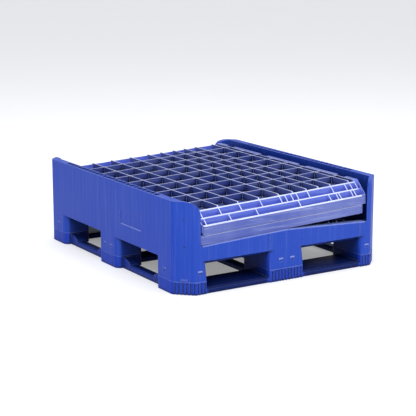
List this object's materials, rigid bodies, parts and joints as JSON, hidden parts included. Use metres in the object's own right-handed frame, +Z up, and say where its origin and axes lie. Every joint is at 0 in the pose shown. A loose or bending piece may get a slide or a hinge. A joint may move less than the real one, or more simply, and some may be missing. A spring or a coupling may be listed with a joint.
{
  "type": "bulk pallet box",
  "caption": "Plastic bulk pallet box folded flat: a base with feet, fork entries and raised sides, a runner frame below, and ribbed folding walls lying on the deck.",
  "frame": {"origin": "on the floor, under the middle of the box", "axes": "+X across the short side to the right, +Y along the long side to the back, +Z up"},
  "size_m": [1, 1.2, 0.372],
  "materials": {
    "body": "moulded, light texture",
    "frame": "moulded, light texture",
    "walls": "moulded, faded satin",
    "latches": "moulded satin",
    "pins": "zinc plated"
  },
  "bodies": {
    "base": {"base_pallet": "body", "bottom_frame": "frame", "left_side_wall": "walls", "left_wall_pin_1": "pins", "left_wall_pin_2": "pins", "left_wall_pin_3": "pins", "left_wall_pin_4": "pins", "front_wall": "walls", "back_wall": "walls", "front_wall_pin_1": "pins", "front_wall_pin_2": "pins", "front_wall_pin_3": "pins", "back_wall_pin_1": "pins", "back_wall_pin_2": "pins", "back_wall_pin_3": "pins"},
    "right_wall": {"right_side_wall": "walls", "right_wall_pin_1": "pins", "right_wall_pin_2": "pins", "right_wall_pin_3": "pins", "right_wall_pin_4": "pins"},
    "front_wall_latch_left_body": {"front_wall_latch_left": "latches"},
    "front_wall_latch_right_body": {"front_wall_latch_right": "latches"},
    "back_wall_latch_left_body": {"back_wall_latch_left": "latches"},
    "back_wall_latch_right_body": {"back_wall_latch_right": "latches"}
  },
  "joints": [
    {"name": "right_wall_hinge", "type": "hinge", "parent": "base", "child": "right_wall", "pos_m": [0.4173, 0, 0.31951], "axis": [0, 1, 0], "range_deg": [0, 92.5]},
    {"name": "front_latch_left_slide", "type": "slide", "parent": "base", "child": "front_wall_latch_left_body", "axis": [1, 0, 0], "range_m": [0, 0.014]},
    {"name": "front_latch_right_slide", "type": "slide", "parent": "base", "child": "front_wall_latch_right_body", "axis": [-1, 0, 0], "range_m": [0, 0.014]},
    {"name": "back_latch_left_slide", "type": "slide", "parent": "base", "child": "back_wall_latch_left_body", "axis": [1, 0, 0], "range_m": [0, 0.014]},
    {"name": "back_latch_right_slide", "type": "slide", "parent": "base", "child": "back_wall_latch_right_body", "axis": [-1, 0, 0], "range_m": [0, 0.014]}
  ]
}
